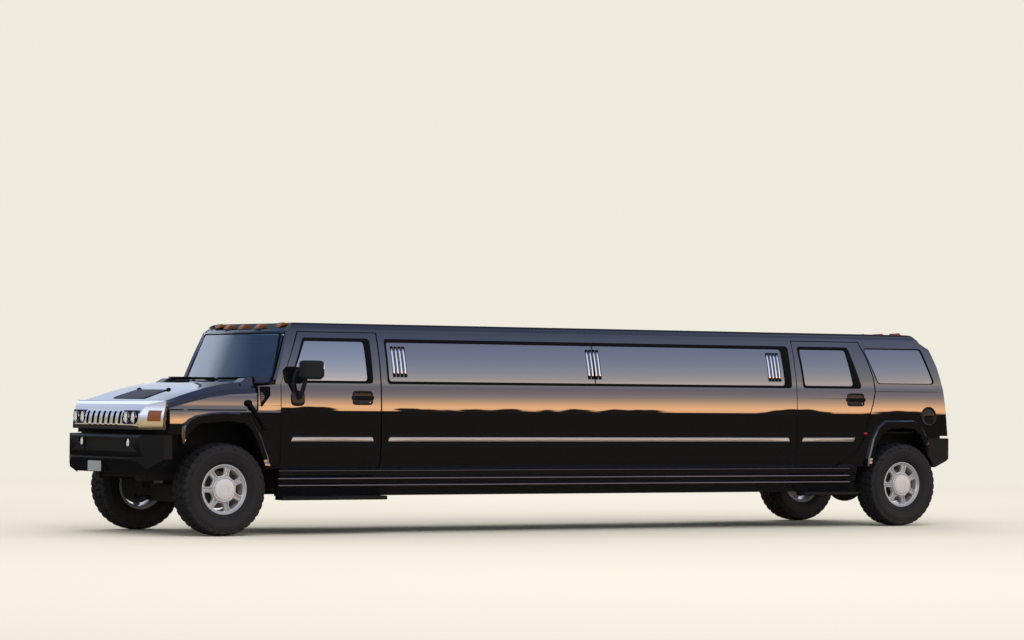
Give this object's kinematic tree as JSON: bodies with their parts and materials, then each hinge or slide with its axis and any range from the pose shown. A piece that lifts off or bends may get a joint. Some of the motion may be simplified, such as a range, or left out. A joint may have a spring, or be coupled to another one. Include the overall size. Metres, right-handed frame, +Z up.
{
  "type": "stretch limousine",
  "caption": "Long black stretch limousine on a tall square off-road body, with opening doors, hood and tailgate, steering and turning wheels.",
  "frame": {"origin": "on the ground, under the middle of the overall length and width", "axes": "+X forward, +Y to the vehicle's left, +Z up"},
  "size_m": [9.73, 2.45, 2.0781],
  "materials": {
    "chassis_paint": "satin black, slightly rough",
    "carpet": "short pile over a metal floor",
    "body_paint": "deep gloss black with clear coat",
    "clear_glass": "polished, lightly blue",
    "tinted_glass": "privacy tint, polished",
    "bright_chrome": "polished plating",
    "amber_lens": "moulded lens",
    "red_lens": "moulded lens",
    "black_plastic": "grained, matt black",
    "engine_metal": "as cast",
    "exhaust_steel": "dull",
    "seat_leather": "black, sewn panels",
    "tyre_rubber": "matt sidewalls"
  },
  "bodies": {
    "body": {"frame_rails": "chassis_paint", "frame_crossmembers": "chassis_paint", "floor": "carpet", "sills": "body_paint", "mid_sides": "body_paint", "quarter_panels": "body_paint", "roof": "body_paint", "cowl": "body_paint", "windshield": "clear_glass", "side_glass": "tinted_glass", "front_fenders": "body_paint", "wheel_housings": "chassis_paint", "radiator_support": "chassis_paint", "grille": "bright_chrome", "headlamps": "clear_glass", "amber_lamps": "amber_lens", "red_lamps": "red_lens", "front_bumper": "black_plastic", "rear_bumper": "black_plastic", "step_boards": "black_plastic", "engine": "engine_metal", "driveline": "chassis_paint", "exhaust": "exhaust_steel", "fuel_tank": "black_plastic", "rear_axle": "chassis_paint", "front_suspension": "chassis_paint", "dashboard": "black_plastic", "seats": "seat_leather"},
    "hood": {"hood": "body_paint"},
    "tailgate": {"tailgate": "body_paint", "tailgate_glass": "tinted_glass"},
    "door_front_left": {"door_front_left": "body_paint", "door_glass_front_left": "tinted_glass", "mirror_left": "black_plastic"},
    "door_rear_left": {"door_rear_left": "body_paint", "door_glass_rear_left": "tinted_glass"},
    "knuckle_left": {"knuckle_left": "engine_metal"},
    "wheel_front_left": {"rim_front_left": "bright_chrome", "tyre_front_left": "tyre_rubber"},
    "wheel_rear_left": {"rim_rear_left": "bright_chrome", "tyre_rear_left": "tyre_rubber"},
    "door_front_right": {"door_front_right": "body_paint", "door_glass_front_right": "tinted_glass", "mirror_right": "black_plastic"},
    "door_rear_right": {"door_rear_right": "body_paint", "door_glass_rear_right": "tinted_glass"},
    "knuckle_right": {"knuckle_right": "engine_metal"},
    "wheel_front_right": {"rim_front_right": "bright_chrome", "tyre_front_right": "tyre_rubber"},
    "wheel_rear_right": {"rim_rear_right": "bright_chrome", "tyre_rear_right": "tyre_rubber"}
  },
  "joints": [
    {"name": "hood_hinge", "type": "hinge", "parent": "body", "child": "hood", "pos_m": [4.645, 0, 1.28], "axis": [0, 1, 0], "range_deg": [0, 55]},
    {"name": "tailgate_hinge", "type": "hinge", "parent": "body", "child": "tailgate", "pos_m": [-4.488, 0, 1.962], "axis": [0, 1, 0], "range_deg": [0, 80]},
    {"name": "door_front_left_hinge", "type": "hinge", "parent": "body", "child": "door_front_left", "pos_m": [3.445, 1, 1.1], "axis": [0, 0, -1], "range_deg": [0, 65]},
    {"name": "door_rear_left_hinge", "type": "hinge", "parent": "body", "child": "door_rear_left", "pos_m": [-2.742, 1, 1.1], "axis": [0, 0, -1], "range_deg": [0, 65]},
    {"name": "steer_left", "type": "hinge", "parent": "body", "child": "knuckle_left", "pos_m": [4.055, 0.8015, 0.4445], "axis": [0, 0, 1], "range_deg": [-30, 30]},
    {"name": "wheel_front_left_spin", "type": "hinge", "parent": "knuckle_left", "child": "wheel_front_left", "pos_m": [4.055, 0.8815, 0.4445], "axis": [0, 1, 0], "continuous": true},
    {"name": "wheel_rear_left_spin", "type": "hinge", "parent": "body", "child": "wheel_rear_left", "pos_m": [-4.145, 0.8815, 0.4445], "axis": [0, 1, 0], "continuous": true},
    {"name": "door_front_right_hinge", "type": "hinge", "parent": "body", "child": "door_front_right", "pos_m": [3.445, -1, 1.1], "axis": [0, 0, 1], "range_deg": [0, 65]},
    {"name": "door_rear_right_hinge", "type": "hinge", "parent": "body", "child": "door_rear_right", "pos_m": [-2.742, -1, 1.1], "axis": [0, 0, 1], "range_deg": [0, 65]},
    {"name": "steer_right", "type": "hinge", "parent": "body", "child": "knuckle_right", "pos_m": [4.055, -0.8015, 0.4445], "axis": [0, 0, 1], "range_deg": [-30, 30]},
    {"name": "wheel_front_right_spin", "type": "hinge", "parent": "knuckle_right", "child": "wheel_front_right", "pos_m": [4.055, -0.8815, 0.4445], "axis": [0, 1, 0], "continuous": true},
    {"name": "wheel_rear_right_spin", "type": "hinge", "parent": "body", "child": "wheel_rear_right", "pos_m": [-4.145, -0.8815, 0.4445], "axis": [0, 1, 0], "continuous": true}
  ],
  "couplings": [
    {"joint": "steer_right", "follows": "steer_left", "ratio": 1}
  ]
}
